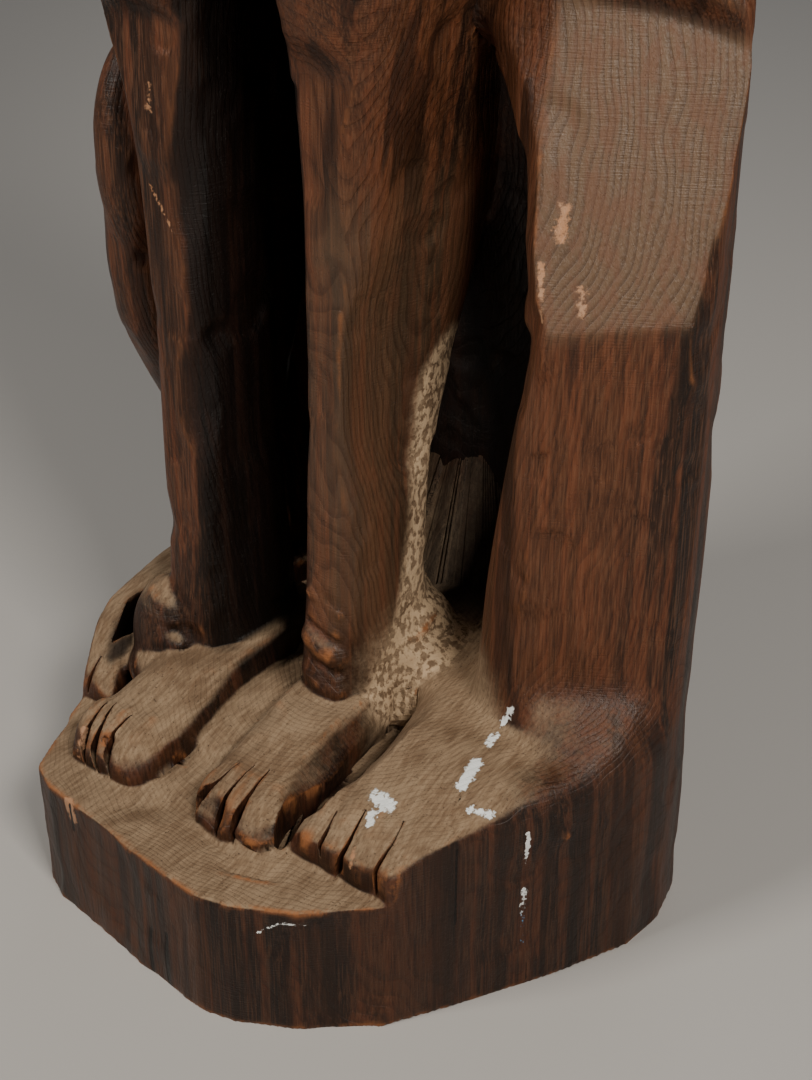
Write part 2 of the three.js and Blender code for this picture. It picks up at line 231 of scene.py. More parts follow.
# The big flats, each a point on it, the way it faces, its reach, how deep it bites and how softly it ends.
FLATS = [
    ((-82, -44, 250), (0.05, -1, 0.02), 90, 1.5, 0.25),
    ((-84, -46, 330), (0.05, -1, 0.05), 80, 2, 0.25),
    ((-60, -10, 250), (1, 0.05, 0), 70, 1.5, 0.25),
    ((6, -38, 230), (-0.12, -1, 0.02), 80, 1.5, 0.25),
    ((6, -40, 320), (-0.12, -1, 0.02), 80, 2, 0.25),
    ((24, 6, 250), (1, -0.2, -0.05), 76, 1.5, 0.7),
    ((118, -4, 322), (0.49, -0.80, 0.34), 105, 3, 0.25),
    ((126, -5, 224), (0.555, -0.83, -0.05), 112, 3, 0.25),
    ((112, -18, 214), (0.1, -1, 0.02), 74, 2, 0.25),
    ((148, 10, 190), (1, -0.25, 0), 90, 0.5, 0.25),
]
co = places(skin)
facing = facings(skin)
by_height = (np.argsort(co[:, 2]), np.sort(co[:, 2]))
for point, normal, reach, depth, edge in FLATS:
    plane(co, facing, by_height, point, normal, reach, depth, edge, 40)
set_places(skin, co)

# Small facets, laid one after another all over the figure; fewer and flatter on the plinth.
draw = np.random.default_rng(7)
facing = facings(skin)
co = places(skin)
for _ in range(1500):
    seat = draw.integers(len(co))
    lean = draw.normal(0, 0.07, 3)
    reach = draw.uniform(7, 24)
    depth = draw.uniform(0.15, 0.7)
    height = co[seat, 2]
    if height < 0.062:
        reach *= 1.5
        depth *= 0.5
        lean *= 0.4
    on_thigh_flat = co[seat, 0] > 0.09 and 0.28 < height < 0.46 and facing[seat] @ (0.49, -0.8, 0.34) > 0.75
    if height < 0.002 or (0.79 < height and co[seat, 1] < -0.02) or on_thigh_flat:
        continue
    normal = facing[seat] + lean
    plane(co, facing, by_height, co[seat] * 1000, normal, reach, depth, 0.5, 4)
# The thigh, knee and shank are trued up once more, so that their arrises stay
# crisp, and the instep is rubbed down.
for point, normal, reach, depth, _ in FLATS[6:8]:
    plane(co, facing, by_height, point, normal, reach, depth, 0.12, 40)
set_places(skin, co)
x, y, z = co.T
instep = ease(0.030, 0.045, x) * ease(-0.085, -0.060, y) * ease(0.078, 0.09, z) * (1 - ease(0.14, 0.17, z))
fair(skin, instep, 140)

# ---------------------------------------------------------------- gouge work
# Creases, folds and sockets are gouge strokes along short paths: the skin is
# pushed in, or left standing, within a few millimetres of the path.


def stroke(co, facing, path, reach, depth):
    """Pushes the skin in by depth, or out if negative, near a path through points in millimetres."""
    path = np.array(path, float) / 1000
    reach = reach / 1000
    low = path.min(0) - reach
    high = path.max(0) + reach
    index = np.nonzero(np.all((co > low) & (co < high), axis=1))[0]
    nearest = np.full(len(index), 1e9)
    for start, end in zip(path[:-1], path[1:]):
        leg = end - start
        along = np.clip((co[index] - start) @ leg / max(leg @ leg, 1e-12), 0, 1)
        gap = np.linalg.norm(co[index] - start - along[:, None] * leg, axis=1)
        nearest = np.minimum(nearest, gap)
    push = np.clip(1 - (nearest / reach) ** 2, 0, 1) ** 2 * depth / 1000
    co[index] -= facing[index] * push[:, None]


co = places(skin)
facing = facings(skin)
# Stacked folds of skin across the front of both wrists: where each stands, its height, reach and depth.
NEAR_WRIST = (5, -42, (
    (146, 4, -1.6), (131, 3.2, 1.8), (123, 7, -2.4), (115, 3.6, 2), (105, 6, -2), (96, 3.2, 1.6),
))
FAR_WRIST = (-84, -56, ((122, 6, -1.4), (110, 3.2, 1.8), (102, 6.5, -2.2), (93, 3.4, 1.8)))
for middle, front, folds in (NEAR_WRIST, FAR_WRIST):
    for height, reach, depth in folds:
        path = [
            (middle - 9, front + 3, height + 3),
            (middle, front, height),
            (middle + 9, front + 2, height - 3),
        ]
        stroke(co, facing, path, reach, depth)
# Toes, raised a little between the slits that part them: the near forepaw, the
# far one, then the near hind foot.
for toe, reach, rise in ((-7, 6, 1), (3, 6, 1.6), (12.5, 6, 1.6), (25, 9, 1.6),
                         (-81, 6, 1.2), (-74, 5.5, 1.4), (-66, 6, 1.6), (-53, 9, 1.6)):
    stroke(co, facing, [(toe, -98, 89), (toe, -110, 82), (toe, -117, 70)], reach, -rise)
for toe, reach in ((50, 7), (63, 8), (78, 9), (95, 9)):
    stroke(co, facing, [(toe, -86, 92), (toe, -100, 86), (toe, -107, 74)], reach, -1.6)
# Tendons behind the knuckles.
for start, end in (((6, -58, 92), (4, -98, 86)), ((16, -58, 92), (18, -98, 86)),
                   ((-66, -62, 92), (-66, -100, 86)), ((-58, -62, 92), (-57, -100, 84))):
    stroke(co, facing, [start, end], 6, -0.9)
set_places(skin, co)

# Claw slits, each a path down the paw that is laid onto the skin, its width and its depth in millimetres.
CLAW_SLITS = [
    ([(3, -95, 88), (0, -106, 85), (-5, -111, 77), (-6, -114, 66)], 5.4, 9),
    ([(9, -92, 90), (8, -108, 83), (8, -115, 77), (8, -118, 65)], 5.2, 9),
    ([(17, -91, 90), (18, -105, 84), (18, -113, 78), (18, -117, 66)], 5.2, 9),
    ([(-78, -98, 88), (-77, -109, 83), (-76, -114, 77), (-73, -118, 66)], 4.8, 8),
    ([(-74, -96, 89), (-71, -109, 83), (-69, -115, 77), (-65, -118, 66)], 5, 9),
    ([(-62, -98, 89), (-63, -108, 83), (-61, -115, 77), (-57, -118, 66)], 5, 9),
    ([(56, -92, 88), (58, -102, 82), (59, -107, 74)], 3.6, 7),
    ([(68, -87, 91), (70, -100, 84), (69, -107, 74), (67, -108, 62)], 4, 8),
    ([(86, -84, 92), (88, -96, 88), (88, -106, 77), (88, -107, 66)], 3.6, 8),
    ([(-112, -68, 84), (-112, -76, 78), (-112, -80, 70)], 3, 5),
]
# The long cut beside the near forepaw is dug straight down.
TRENCH = ([(36, -110, 70), (36, -92, 72), (35, -66, 74), (34, -36, 80), (33, -4, 90)], 13, 24)


def along(path, t):
    """The point a share t of the way along a path of evenly counted points."""
    steps = len(path) - 1
    leg = np.minimum((t * steps).astype(int), steps - 1)
    return path[leg] + (path[leg + 1] - path[leg]) * (t * steps - leg)[:, None]


def blade(path, outward, width, depth, swell, clearance=8):
    """A cutter that runs along a path, pointed at both ends and widest a share `swell` of the way along."""
    bpy.ops.object.select_all(action="DESELECT")
    bpy.ops.mesh.primitive_uv_sphere_add(segments=16, ring_count=24, radius=0.5)
    cutter = bpy.context.object
    ball = places(cutter)
    t = ball[:, 2] + 0.5
    spine = along(path, t)
    run = along(path, np.minimum(t + 0.02, 1)) - along(path, np.maximum(t - 0.02, 0))
    run /= np.linalg.norm(run, axis=1)[:, None]
    side = np.cross(path[-1] - path[0], outward)
    side /= np.linalg.norm(side)
    out = np.cross(side, run)
    fullness = 0.3 + 0.7 * np.exp(-((t - swell) / 0.28) ** 2)
    clear = np.where(ball[:, 1] > 0, clearance, 2 * depth * (0.45 + 0.55 * fullness)) / 1000
    co = spine + np.outer(ball[:, 0] * width / 1000 * fullness, side) + out * (ball[:, 1] * clear)[:, None]
    set_places(cutter, co)
    return cutter


surface = BVHTree.FromPolygons(
    [v.co for v in skin.data.vertices], [p.vertices for p in skin.data.polygons], all_triangles=False
)
cutters = []
for path, width, depth in CLAW_SLITS:
    laid = [surface.find_nearest(Vector(point) / 1000) for point in path]
    cutters.append(blade(
        np.array([hit[0] for hit in laid]),
        np.mean([hit[1] for hit in laid[:3]], axis=0),
        width,
        depth,
        0.72,
    ))
path, width, depth = TRENCH
cutters.append(blade(np.array(path) / 1000, (0, -0.1, 1), width, depth, 0.2, 80))
# The pocket between the far wrist and the thin rim of the far hind foot.
POCKET = [(-113, -8, 104), (-116, -36, 94), (-113, -64, 82)]
cutters.append(blade(np.array(POCKET) / 1000, (0.25, -0.2, 0.95), 17, 24, 0.5, 30))
bpy.ops.object.select_all(action="DESELECT")
for cutter in cutters:
    cutter.select_set(True)
bpy.context.view_layer.objects.active = cutters[0]
bpy.ops.object.join()
cutter = bpy.context.object
as_active(cutter)
bpy.ops.object.mode_set(mode="EDIT")
bpy.ops.mesh.select_all(action="SELECT")
bpy.ops.mesh.normals_make_consistent(inside=False)
bpy.ops.object.mode_set(mode="OBJECT")
bpy.context.view_layer.update()
apply_modifier(skin, "BOOLEAN", operation="DIFFERENCE", solver="MANIFOLD", object=cutter)
bpy.data.objects.remove(cutter)

# ---------------------------------------------------------------- weathering, painted light and painted shade
# Age marks and painted shade are measured on the skin itself and kept as vertex values that the
# finish reads: how sharp an edge is, how deep a hollow (darkened as painted shade), and where dust lies.


def ends(piece):
    flat = np.empty(len(piece.data.edges) * 2, dtype=np.int32)
    piece.data.edges.foreach_get("vertices", flat)
    return flat.reshape(-1, 2)


def blur(value, pairs, rounds):
    """Averages a value with its neighbours' along the edges."""
    count = np.bincount(pairs.ravel(), minlength=len(value)) + 1.0
    for _ in range(rounds):
        total = value.copy()
        total += np.bincount(pairs[:, 0], weights=value[pairs[:, 1]], minlength=len(value))
        total += np.bincount(pairs[:, 1], weights=value[pairs[:, 0]], minlength=len(value))
        value = total / count
    return value


def keep_value(piece, name, value):
    attribute = piece.data.attributes.new(name, "FLOAT", "POINT")
    attribute.data.foreach_set("value", value.astype(np.float32))


def marked(path, reach):
    """One on a path through points in millimetres, falling to nothing at its reach."""
    path = np.array(path, float) / 1000
    nearest = np.full(len(co), 1e9)
    for start, end in zip(path[:-1], path[1:]):
        leg = end - start
        along = np.clip((co - start) @ leg / max(leg @ leg, 1e-12), 0, 1)
        nearest = np.minimum(nearest, np.linalg.norm(co - start - along[:, None] * leg, axis=1))
    return np.clip(1 - nearest / (reach / 1000), 0, 1)


co = places(skin)
facing = facings(skin)
pairs = ends(skin)
relaxed = np.stack([blur(co[:, axis], pairs, 5) for axis in range(3)], axis=1)
bulge = np.einsum("ij,ij->i", co - relaxed, facing)
bulge = blur(bulge, pairs, 1)
wide = np.stack([blur(relaxed[:, axis], pairs, 24) for axis in range(3)], axis=1)
broad_bulge = blur(np.einsum("ij,ij->i", co - wide, facing), pairs, 2)
keep_value(skin, "edge", ease(0.00012, 0.0006, bulge))
keep_value(skin, "hollow", ease(0.0002, 0.0016, -broad_bulge))
up = blur(facing[:, 2], pairs, 3)
low_down = 1 - ease(0.09, 0.17, co[:, 2])
dust = ease(0.25, 0.8, up) * (0.25 + 0.75 * low_down)
heel = ease(0.0, 0.4, marked([(20, 32, 235), (22, 26, 170), (26, 14, 125), (30, -6, 96)], 32))
heel *= ease(-0.1, 0.3, facing[:, 0])
crook = 1 - ease(0.02, 0.06, np.linalg.norm(co - np.array((0.050, -0.005, 0.100)), axis=1))
crook *= 1 - ease(0.03, 0.045, co[:, 1])
plinth_side = ease(0.060, 0.064, co[:, 2])
dust = np.maximum(dust, np.maximum(heel, crook) * 0.9) * plinth_side
dust *= 1 - 0.75 * ease(0.100, 0.130, co[:, 0]) * ease(-0.07, -0.04, co[:, 1])
keep_value(skin, "dust", np.clip(dust, 0, 1))
keep_value(skin, "crumbs", np.clip(heel * plinth_side, 0, 1))


def strongest(marks):
    """The most that any mark, a path with its reach and its strength, leaves at each vertex."""
    return np.max([marked(path, reach) * strength for path, reach, strength in marks], axis=0)


# White paint: a dribble over the near instep, dabs on the toes, a dotted run
# down the plinth and a brushed scratch.
WHITE_PAINT = [
    ([(94, -19, 117), (91, -21, 109)], 6, 0.86), ([(91, -26, 105), (92, -33, 104)], 6, 0.9),
    ([(95, -45, 104), (97, -54, 103), (98, -60, 102)], 7.5, 1),
    ([(68, -80, 93), (76, -82, 94)], 10, 1), ([(72, -88, 92), (74, -92, 90)], 7, 0.95),
    ([(108, -68, 99), (116, -64, 98)], 7, 0.85),
    ([(127, -52, 86), (127, -52, 62)], 3, 1), ([(127, -52, 54), (127, -52, 24)], 5, 0.95),
    ([(53, -141, 53), (62, -137, 60), (78, -123, 56), (83, -119, 57)], 2.6, 0.9),
]
keep_value(skin, "paint", strongest(WHITE_PAINT))
# Drying checks: down the near side under the outer toe, and splits that open at the foot of the plinth.
CHECKS = [
    ([(100, -64, 101), (110, -78, 91), (111, -81, 88), (111, -81, 47)], 1.9, 0.8),
    ([(-6, -148, 28), (-7, -148, 0)], 2.4, 1), ([(5, -149, 31), (4, -149, 0)], 2.6, 1),
    ([(-61, -140, 64), (-60, -140, 50)], 2.2, 1), ([(128, -50, 30), (128, -50, 0)], 1.8, 0.7),
]
keep_value(skin, "crack", strongest(CHECKS))
# Torn and rubbed places: a chip on the ledge, the knee, the wrist's knob, a long
# graze on the far foreleg and the tips of two toes.
GRAZES = [
    ([(-62, -141, 64), (-60, -141, 58)], 8, 1), ([(100, -4, 340), (101, -8, 330)], 8, 0.8),
    ([(97, -14, 320), (101, -18, 300)], 3.5, 0.9), ([(114, -10, 303), (112, -8, 312)], 7, 0.7),
    ([(3, -42, 146), (6, -43, 143)], 5, 0.8), ([(-84, -41, 322), (-72, -41, 303)], 2.8, 0.75),
    ([(-79, -42, 365), (-80, -42, 354)], 5, 0.7),
    ([(-79, -112, 82), (-78, -117, 70)], 5, 0.9), ([(74, -103, 84), (76, -108, 78)], 5, 0.7),
]
keep_value(skin, "graze", strongest(GRAZES))
# The near thigh's broad flat is worn pale down to the crisp edge above the shank.
thigh_flat = np.array((0.49, -0.80, 0.34))
x, y, z = co.T
above_knee = ease(-0.004, 0.008, z - 0.291 - 0.18 * (x - 0.104))
thigh_flat /= np.linalg.norm(thigh_flat)
pale = ease(0.80, 0.95, facing @ thigh_flat) * above_knee * ease(0.07, 0.09, x)
# Painted light: the front right face of the near foreleg is lightened as if lit, and kept in the 'pale'
# value with the worn thigh flat.
painted_light_face = ease(0.35, 0.75, facing @ (0.75, -0.66, 0)) * ease(-0.03, -0.01, x) * (1 - ease(0.045, 0.06, x))
painted_light_face *= ease(0.11, 0.15, z) * (1 - ease(0.31, 0.36, z)) * (1 - ease(0.03, 0.045, y))
keep_value(skin, "pale", blur(np.maximum(pale, 0.45 * painted_light_face), pairs, 4))
# Painted shade: the inner sides of the forelegs, the space behind the near one and the
# pocket by the far hind foot are darkened towards black, where shadow falls in the gaps.
between = ease(-0.075, -0.062, x) * (1 - ease(-0.006, 0.002, x))
between *= ease(-0.045, -0.035, y) * ease(0.08, 0.11, z)
between *= ease(0.3, 0.7, np.abs(facing[:, 0]))
behind = ease(-0.06, -0.04, x) * (1 - ease(0.085, 0.10, x)) * ease(0.03, 0.045, y) * ease(0.095, 0.12, z)
behind *= np.maximum(ease(0.036, 0.046, x), 1 - ease(0.1, 0.4, facing[:, 0]))
pocket = (x > -0.125) * (x < -0.105) * (y > -0.07) * (y < 0.0) * (z < 0.125) * (z > 0.07)
pocket = pocket * ease(0.1, 0.4, facing[:, 0])
inner_far_leg = (x < -0.035) * (facing[:, 0] > 0.45) * (x > -0.08) * ease(0.08, 0.1, z)
inner_far_leg = inner_far_leg * ease(-0.05, -0.04, y)
shade = np.maximum.reduce([between, behind, pocket, inner_far_leg]) * (1 - ease(0.42, 0.5, z))
keep_value(skin, "shade", blur(shade, pairs, 2))

# ---------------------------------------------------------------- parting
# The skin is parted along the same lines as the members: each face goes to the
# member it lies nearest, and every part is closed on the inside.


def member_of_faces(piece):
    """For each face of the skin, the number of the member whose solid is nearest."""
    corners = []
    faces = []
    owner = []
    for number, node in enumerate(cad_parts.values()):
        start = len(corners)
        corners.extend(v.co[:] for v in node.data.vertices)
        faces.extend([start + i for i in face.vertices] for face in node.data.polygons)
        owner.extend([number] * len(node.data.polygons))
    tree = BVHTree.FromPolygons(corners, faces)
    flat = np.empty(len(piece.data.polygons) * 3)
    piece.data.polygons.foreach_get("center", flat)
    return np.array([owner[tree.find_nearest(place)[2]] for place in flat.reshape(-1, 3).tolist()])


def neighbours_agree(piece, member, rounds=3):
    """Straightens the parting lines: a face with most of its corners in another member joins it."""
    count = len(piece.data.polygons)
    starts = np.empty(count, dtype=np.int32)
    totals = np.empty(count, dtype=np.int32)
    piece.data.polygons.foreach_get("loop_start", starts)
    piece.data.polygons.foreach_get("loop_total", totals)
    corner = np.empty(len(piece.data.loops), dtype=np.int32)
    piece.data.loops.foreach_get("vertex_index", corner)
    face_of_loop = np.repeat(np.arange(count), totals)
    names = len(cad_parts)
    vertices = len(piece.data.vertices)
    for _ in range(rounds):
        votes = np.zeros((vertices, names), dtype=np.float32)
        np.add.at(votes, (corner, member[face_of_loop]), 1)
        share = np.zeros((count, names), dtype=np.float32)
        np.add.at(share, face_of_loop, votes[corner])
        member = share.argmax(axis=1)
    return member


# ---------------------------------------------------------------- the log's finish
# Old softwood under a dark brown stain: rings and grain run up the log, red
# where the stain is thin, pale with dust on top, torn orange at the edges. Painted shade darkens
# the hollows and the gaps between the legs, and painted light lifts the near foreleg's front right face.


def shader_group(name, inputs, outputs):
    tree = bpy.data.node_groups.new(name, "ShaderNodeTree")
    for label, default in inputs:
        socket = tree.interface.new_socket(name=label, in_out="INPUT", socket_type="NodeSocketFloat")
        socket.default_value = default
    for label, kind in outputs:
        tree.interface.new_socket(name=label, in_out="OUTPUT", socket_type=kind)
    return tree, tree.nodes.new("NodeGroupInput"), tree.nodes.new("NodeGroupOutput")


def feed(tree, socket, value):
    if isinstance(value, bpy.types.NodeSocket):
        tree.links.new(value, socket)
    else:
        socket.default_value = value


def maths(tree, operation, *values, clamp=False):
    node = tree.nodes.new("ShaderNodeMath")
    node.operation = operation
    node.use_clamp = clamp
    for socket, value in zip(node.inputs, values):
        feed(tree, socket, value)
    return node.outputs[0]


def ramp(tree, value, low, high, start=0.0, stop=1.0):
    """Rises smoothly from start to stop while the value goes from low to high."""
    node = tree.nodes.new("ShaderNodeMapRange")
    node.interpolation_type = "SMOOTHSTEP"
    settings = {"Value": value, "From Min": low, "From Max": high, "To Min": start, "To Max": stop}
    for label, number in settings.items():
        feed(tree, node.inputs[label], number)
    return node.outputs[0]


def stretched(tree, scale, shift=(0, 0, 0)):
    """Object coordinates, stretched along each axis."""
    place = tree.nodes.new("ShaderNodeTexCoord")
    mapping = tree.nodes.new("ShaderNodeMapping")
    mapping.inputs["Scale"].default_value = scale
    mapping.inputs["Location"].default_value = shift
    tree.links.new(place.outputs["Object"], mapping.inputs["Vector"])
    return mapping.outputs[0]


def noise(tree, vector, scale=1.0, detail=3.0, roughness=0.55, distortion=0.0):
    node = tree.nodes.new("ShaderNodeTexNoise")
    feed(tree, node.inputs["Vector"], vector)
    node.inputs["Scale"].default_value = scale
    node.inputs["Detail"].default_value = detail
    node.inputs["Roughness"].default_value = roughness
    node.inputs["Distortion"].default_value = distortion
    return node


def mixed(tree, share, first, second, blend="MIX"):
    node = tree.nodes.new("ShaderNodeMix")
    node.data_type = "RGBA"
    node.blend_type = blend
    feed(tree, node.inputs["Factor"], share)
    feed(tree, node.inputs["A"], first)
    feed(tree, node.inputs["B"], second)
    return node.outputs["Result"]


FLOAT = "NodeSocketFloat"

# Grain: rings about a pith that wanders up the log, and streaks, bands and fibres along it.
grain, grain_in, grain_out = shader_group(
    "log_grain", [("Ring Spacing", 0.0026)],
    [("Ring", FLOAT), ("Band", FLOAT), ("Streak", FLOAT), ("Fibre", FLOAT)],
)
waver = noise(grain, stretched(grain, (10, 10, 5)), detail=3).outputs["Color"]
centred = grain.nodes.new("ShaderNodeVectorMath")
centred.operation = "MULTIPLY_ADD"
grain.links.new(waver, centred.inputs[0])
centred.inputs[1].default_value = (0.045, 0.045, 0)
pith = stretched(grain, (1, 1, 0), (-0.028, -0.035, 0))
grain.links.new(pith, centred.inputs[2])
radius = grain.nodes.new("ShaderNodeVectorMath")
radius.operation = "LENGTH"
grain.links.new(centred.outputs[0], radius.inputs[0])
height = grain.nodes.new("ShaderNodeSeparateXYZ")
grain.links.new(stretched(grain, (1, 1, 1), (0, 0, -0.335)), height.inputs[0])
bow = maths(grain, "SQRT", maths(grain, "ADD", maths(grain, "POWER", height.outputs["Z"], 2.0), 0.0009))
cone = maths(grain, "ADD", radius.outputs["Value"], maths(grain, "MULTIPLY", bow, 0.16))
turns = maths(grain, "DIVIDE", cone, grain_in.outputs["Ring Spacing"])
part = maths(grain, "FRACT", turns)
late = maths(grain, "MULTIPLY", ramp(grain, part, 0.35, 0.88), ramp(grain, part, 0.9, 1.0, 1.0, 0.0))
grain.links.new(late, grain_out.inputs["Ring"])
band = noise(grain, stretched(grain, (26, 26, 1.6)), detail=4, roughness=0.6, distortion=0.4)
grain.links.new(band.outputs["Fac"], grain_out.inputs["Band"])
streak = noise(grain, stretched(grain, (170, 170, 5)), detail=4, roughness=0.6)
grain.links.new(streak.outputs["Fac"], grain_out.inputs["Streak"])
fibre = noise(grain, stretched(grain, (1300, 1300, 42)), detail=2)
grain.links.new(fibre.outputs["Fac"], grain_out.inputs["Fibre"])

# Tool marks: fine combed lines of a rasp and small gouge, in patches that run different ways.
tooling, tooling_in, tooling_out = shader_group("tool_marks", [("Amount", 1.0)], [("Height", FLOAT)])
combed = noise(tooling, stretched(tooling, (110, 110, 1500)), detail=2, distortion=0.25).outputs["Fac"]
scraped = noise(tooling, stretched(tooling, (900, 240, 420), (3, 1, 2)), detail=2).outputs["Fac"]
patch = ramp(tooling, noise(tooling, stretched(tooling, (22, 22, 16)), detail=1).outputs["Fac"], 0.42, 0.6)
both = tooling.nodes.new("ShaderNodeMix")
tooling.links.new(patch, both.inputs["Factor"])
tooling.links.new(combed, both.inputs["A"])
tooling.links.new(scraped, both.inputs["B"])
tooling.links.new(
    maths(tooling, "MULTIPLY", both.outputs["Result"], tooling_in.outputs["Amount"]),
    tooling_out.inputs["Height"],
)

# Dust: a film that gathers where a value says it may, patchy, with dark grit in it.
dusting, dusting_in, dusting_out = shader_group(
    "settled_dust", [("Where", 0.0)], [("Film", FLOAT), ("Grit", FLOAT)]
)
cloud = noise(dusting, stretched(dusting, (55, 55, 55)), detail=5, roughness=0.65).outputs["Fac"]
fine = noise(dusting, stretched(dusting, (700, 700, 700)), detail=3, roughness=0.7).outputs["Fac"]
patchy = maths(dusting, "MULTIPLY", cloud, 0.75)
patchy = maths(dusting, "ADD", patchy, maths(dusting, "MULTIPLY", fine, 0.35))
laid = maths(dusting, "ADD", dusting_in.outputs["Where"], maths(dusting, "SUBTRACT", patchy, 0.52))
dusting.links.new(ramp(dusting, laid, 0.12, 0.85), dusting_out.inputs["Film"])
grit = noise(dusting, stretched(dusting, (950, 950, 950), (5, 2, 7)), detail=2).outputs["Fac"]
dusting.links.new(ramp(dusting, grit, 0.62, 0.72), dusting_out.inputs["Grit"])

# Wear: edges rubbed through the stain, broken up so that only some of an edge is bare.
wearing, wearing_in, wearing_out = shader_group(
    "rubbed_edges", [("Edge", 0.0), ("Amount", 1.0)], [("Bare", FLOAT)]
)
broken = noise(wearing, stretched(wearing, (75, 75, 40), (1, 4, 2)), detail=5, roughness=0.7).outputs["Fac"]
rubbed = maths(wearing, "MULTIPLY", wearing_in.outputs["Edge"], ramp(wearing, broken, 0.42, 0.58))
wearing.links.new(
    maths(wearing, "MULTIPLY", rubbed, wearing_in.outputs["Amount"], clamp=True), wearing_out.inputs["Bare"]
)


def placed(tree, group, **values):
    node = tree.nodes.new("ShaderNodeGroup")
    node.node_tree = group
    for label, value in values.items():
        feed(tree, node.inputs[label.replace("_", " ")], value)
    return node.outputs


def carried(tree, name):
    """A value kept on the skin's vertices."""
    node = tree.nodes.new("ShaderNodeAttribute")
    node.attribute_name = name
    return node.outputs["Fac"]


